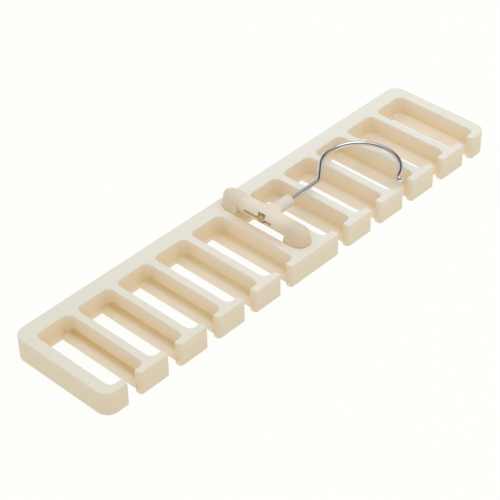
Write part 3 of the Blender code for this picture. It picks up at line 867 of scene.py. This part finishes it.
def ivory_tone(bench, cloud, edge):
    """Ivory with painted shade and warm glow in the pockets, painted light on the flanges, painted
    shade low on the faces, on the ears and neck and as the yoke's shadow beside it, a warmer cream
    on the barrel, and lighter towards the right.
    """
    across, deep, height = (bench.place(axis) for axis in "XYZ")
    right = across.above(-RACK_LENGTH / 2, RACK_LENGTH / 5)
    far_right = across.above(0.0, RACK_LENGTH / 2)

    # Painted shade in the pockets: how closely walls crowd in, with the valley just over the flange
    # counted deeper
    wide = bench.closeness(WIDE_REACH)
    near = bench.closeness(NEAR_REACH)
    valley = height.above(*VALLEY_START) * (1 - height.above(*VALLEY_END))
    valley = valley * (1 - deep.above(POCKET_BACK_Y - VALLEY_BACK_FADE, POCKET_BACK_Y) * 0.8)
    depth = wide * 0.72 + valley * wide.above(0.10, 0.34) * 0.30 + near * 0.12
    pocket = depth.above(*POCKET_SHADE_FADE)

    # Painted shade low on the faces outside the pockets, stopping short of the top edge
    low = (1 - height.above(*LOW_SHADE_FADE)) * (1 - pocket)
    low = low * (1 - height.above(RACK_HEIGHT - TOP_EDGE_FADE, RACK_HEIGHT))
    # Painted light on the flanges, reaching higher on the right
    flange = (1 - (height - far_right * FLANGE_LIGHT_RIGHT_RISE).above(*FLANGE_LIGHT_FADE)) * pocket
    above_skin = height.above(RACK_HEIGHT, RACK_HEIGHT + SKIN_FADE)
    # Painted shadow of the yoke on the strip of top left of the skin hole
    shadow_strip = 1 - abs(across + SHADOW_STRIP_MIDDLE).above(*SHADOW_STRIP_SIDE_FADE)
    shadow_strip = shadow_strip * (1 - abs(deep).above(*SHADOW_STRIP_END_FADE)) * (1 - above_skin)
    shadow_strip = shadow_strip * height.above(RACK_HEIGHT - SHADOW_STRIP_DROP, RACK_HEIGHT)
    # Painted shade on the ears, more on the front one, deeper at their feet, and a painted contact
    # shadow line at the foot
    ears = abs(deep).above(*EAR_SHADE_FADE) * above_skin
    ear_shade_share = EAR_SHADE_SHARE + (0 - deep).above(*FRONT_EAR_SHADE_FADE) * FRONT_EAR_EXTRA_SHADE
    foot = 1 - height.above(RACK_HEIGHT + SKIN_FADE, AXIS_Z)
    contact_shadow_line = 1 - height.above(*FOOT_SHADE_FADE)
    # Painted shade on the neck
    neck = across.above(BARREL_RADIUS, BARREL_RADIUS + NECK_SHADE_FADE) * above_skin
    flow = bench.noise(FLOW_SCALE, 2.0, 0.6, FLOW_STRETCH)
    specks = bench.noise(SPECK_SCALE, 1.0, 0.4).above(0.735, 0.80)

    # Painted shade tones for the pocket walls and valleys, lighter on the right
    wall_painted_shade = bench.mix(height.above(*WALL_TOP_SHADE_FADE), WALL_PAINTED_SHADE, WALL_TOP_PAINTED_SHADE)
    valley_painted_shade = bench.mix(right, VALLEY_LEFT_PAINTED_SHADE, VALLEY_RIGHT_PAINTED_SHADE)

    # Where each layer lies on the ones before, how strongly, and its tone: painted shade and light,
    # then the plastic's own clouds, flow marks and specks, then a painted edge highlight
    layers = [
        (low, 0.62, LOW_PAINTED_SHADE),
        (depth.above(*WALL_SHADE_DEPTH), 1.0, wall_painted_shade),
        (depth.above(*VALLEY_SHADE_DEPTH), 1.0, valley_painted_shade),
        (flange, 0.75, FLANGE_PAINTED_LIGHT),
        (shadow_strip, 0.55, STRIP_PAINTED_SHADOW),
        (above_skin * (1 - ears), 0.30, BARREL_CREAM),
        (ears, ear_shade_share, EAR_PAINTED_SHADE),
        (ears * foot, 0.75, FOOT_PAINTED_SHADE),
        (ears * contact_shadow_line, 0.8, FOOT_SHADE),
        (neck, 0.45, NECK_PAINTED_SHADE),
        ((cloud - 0.5).above(0.0, 0.35), 0.30, CLOUD_PALE),
        ((0.5 - flow).above(0.02, 0.30), 0.16, FLOW_DULL),
        (specks, 0.25, SPECK_BROWN),
        (edge, 0.35, EDGE_PAINTED_HIGHLIGHT),
    ]
    tone = bench.mix(right, IVORY_LEFT, IVORY_RIGHT)
    for where, share, layer in layers:
        tone = bench.mix(where * share, tone, layer)
    return tone


def ivory_plastic(name):
    """Satin ivory moulding: grain, sink marks, hairline scratches, edges worn smooth with a painted
    highlight, and painted shade and light in its tones.
    """
    bench = Bench(bpy.data.materials.new(name))
    cloud = bench.noise(CLOUD_SCALE, 3.0)
    grain = bench.noise(GRAIN_SCALE, 2.0, 0.6)
    # Edges: a little smoother, and a painted highlight along them
    edge = bench.closeness(EDGE_REACH, inside=True).above(0.12, 0.5)
    scratches = bench.noise(1.0, 3.0, 0.7, SCRATCH_STRETCH).above(0.60, 0.70)
    scratches = scratches * bench.noise(SCRATCH_PATCH_SCALE, 1.0).above(0.50, 0.62)
    texture = bench.bump(grain, GRAIN_DEPTH, 0.7)
    sinks = bench.bump(bench.noise(SINK_SCALE, 1.0), SINK_DEPTH, 0.6, texture)
    roughness = PLASTIC_ROUGHNESS + cloud * 0.10 + grain * 0.06 + scratches * 0.14 - edge * 0.06
    return bench.surface(
        Base_Color=ivory_tone(bench, cloud, edge),
        Roughness=roughness,
        Normal=bench.bump(scratches, SCRATCH_DEPTH, 0.5, sinks),
        IOR=PLASTIC_IOR,
        Specular_IOR_Level=PLASTIC_SPECULAR,
    )


def chrome_plate(name):
    """Bright chrome over drawn wire: draw lines, a hazed bloom, pits and a tarnished back end."""
    bench = Bench(bpy.data.materials.new(name))
    haze = bench.noise(HAZE_SCALE, 3.0)
    pits = bench.noise(PIT_SCALE, 1.0, 0.4).above(0.70, 0.76)
    lines = bench.noise(1.0, 2.0, 0.6, DRAW_LINE_STRETCH)
    raw = 1 - bench.place("X").above(*RAW_END_FADE)
    tone = bench.mix(haze.above(0.35, 0.75) * 0.35, CHROME, CHROME_BLOOM)
    tone = bench.mix(pits * 0.5, tone, CHROME_PIT)
    return bench.surface(
        Base_Color=bench.mix(raw, tone, TARNISH),
        Metallic=1 - raw * 0.8,
        Roughness=CHROME_ROUGHNESS + haze * 0.06 + pits * 0.2 + lines * 0.03 + raw * 0.4,
        Normal=bench.bump(haze, HAZE_DEPTH, 0.25, bench.bump(lines, DRAW_LINE_DEPTH, 0.35)),
    )


def plain_steel(name):
    """Stamped steel washer: rolled grain, dull patches and a yellow oily film."""
    bench = Bench(bpy.data.materials.new(name))
    grain = bench.noise(1.0, 3.0, 0.6, ROLLED_STRETCH)
    bloom = bench.noise(BLOOM_SCALE, 3.0)
    film = bloom.above(0.35, 0.65)
    return bench.surface(
        Base_Color=bench.mix(film * 0.7, STEEL, TARNISH),
        Metallic=1 - film * 0.6,
        Roughness=STEEL_ROUGHNESS + grain * 0.16 + bloom * 0.14,
        Normal=bench.bump(grain, ROLLED_DEPTH, 0.4),
    )


# Studio


def floor_material():
    """Cream paper to the light, mostly glowing warm light onto the rack from below, white to the
    eye and in the chrome, with a soft shadow.
    """
    bench = Bench(bpy.data.materials.new("studio_floor"))
    seen = bench.node("ShaderNodeLightPath", {}, {}, "Is Camera Ray")
    mirrored = bench.node("ShaderNodeLightPath", {}, {}, "Is Glossy Ray")
    paint = bench.node("ShaderNodeBsdfDiffuse", {}, {"Color": FLOOR_PAINT})
    # The floor glows warm light onto the rack, lighting its hollows from below
    warm_glow = bench.node("ShaderNodeEmission", {}, {"Color": FLOOR_PAINT, "Strength": 1.0})
    paper = bench.node("ShaderNodeMixShader", {}, {0: FLOOR_WARM_GLOW, 1: paint, 2: warm_glow})
    white = bench.node("ShaderNodeBsdfDiffuse", {}, {"Color": FLOOR_WHITE})
    shine = bench.node("ShaderNodeEmission", {}, {"Color": FLOOR_SHINE, "Strength": 1.0})
    shown = bench.node("ShaderNodeMixShader", {}, {0: FLOOR_GLOW, 1: white, 2: shine})
    mixed = bench.node("ShaderNodeMixShader", {}, {0: seen + mirrored, 1: paper, 2: shown})
    bench.node("ShaderNodeOutputMaterial", {}, {"Surface": mixed})
    return bench.owner


def make_floor():
    bm = bmesh.new()
    bmesh.ops.create_grid(bm, x_segments=1, y_segments=1, size=FLOOR_HALF_SIZE)
    floor = make_object("studio_floor", lifted(bm, (0, 0, -FLOOR_DROP)))
    floor.data.materials.append(floor_material())


def make_camera():
    data = bpy.data.cameras.new("photo_camera")
    data.lens = CAMERA_LENS
    data.sensor_width = SENSOR_WIDTH
    data.shift_x = -HALF_PIXEL
    data.shift_y = HALF_PIXEL
    data.clip_end = CAMERA_REACH
    camera = bpy.data.objects.new("photo_camera", data)
    bpy.context.scene.collection.objects.link(camera)
    up = -CAMERA_DOWN
    turn = Matrix((CAMERA_RIGHT, up, CAMERA_RIGHT.cross(up))).transposed()
    camera.matrix_world = Matrix.Translation(CAMERA_PLACE) @ turn.to_4x4()
    bpy.context.scene.camera = camera


def make_lamp():
    """One soft round lamp above the rack's front right, aimed at its middle."""
    data = bpy.data.lights.new("key_lamp", "AREA")
    data.shape = "DISK"
    data.size = KEY_SIZE
    data.energy = KEY_POWER
    lamp = bpy.data.objects.new("key_lamp", data)
    bpy.context.scene.collection.objects.link(lamp)
    lamp.location = KEY_PLACE
    lamp.rotation_euler = (-Vector(KEY_PLACE)).to_track_quat("-Z", "Y").to_euler()


def grey_stops(greys):
    return [(position, (grey, grey, grey)) for position, grey in greys]


def make_world():
    """Even white light, and for glossy rays only, painted dark and bright bands for the chrome to
    mirror.
    """
    bench = Bench(bpy.data.worlds.new("studio"))
    bpy.context.scene.world = bench.owner
    way = {"Vector": bench.node("ShaderNodeTexCoord", {}, {}, "Generated")}
    x, y, height = (bench.node("ShaderNodeSeparateXYZ", {}, way, axis) for axis in "XYZ")
    near_cards = bench.ramp(height, grey_stops(NEAR_CARDS))
    far_cards = bench.ramp(height, grey_stops(FAR_CARDS))
    cards = bench.mix((x + y).above(*CARD_FADE), near_cards, far_cards)
    sky = bench.node("ShaderNodeBackground", {}, {"Color": bench.ramp(height, SKY_STOPS)})
    mirror = bench.node("ShaderNodeBackground", {}, {"Color": cards})
    mirrored = bench.node("ShaderNodeLightPath", {}, {}, "Is Glossy Ray")
    mixed = bench.node("ShaderNodeMixShader", {}, {0: mirrored, 1: sky, 2: mirror})
    bench.node("ShaderNodeOutputWorld", {}, {"Surface": mixed})


make_rack(ivory_plastic("ivory_rack_plastic"))
make_yoke(ivory_plastic("ivory_yoke_plastic"))
make_wire(chrome_plate("chromed_wire"))
make_ball(chrome_plate("chromed_ball"))
make_washer(plain_steel("washer_steel"))
make_floor()
make_world()
make_lamp()
make_camera()
bpy.context.scene.view_settings.view_transform = "Standard"
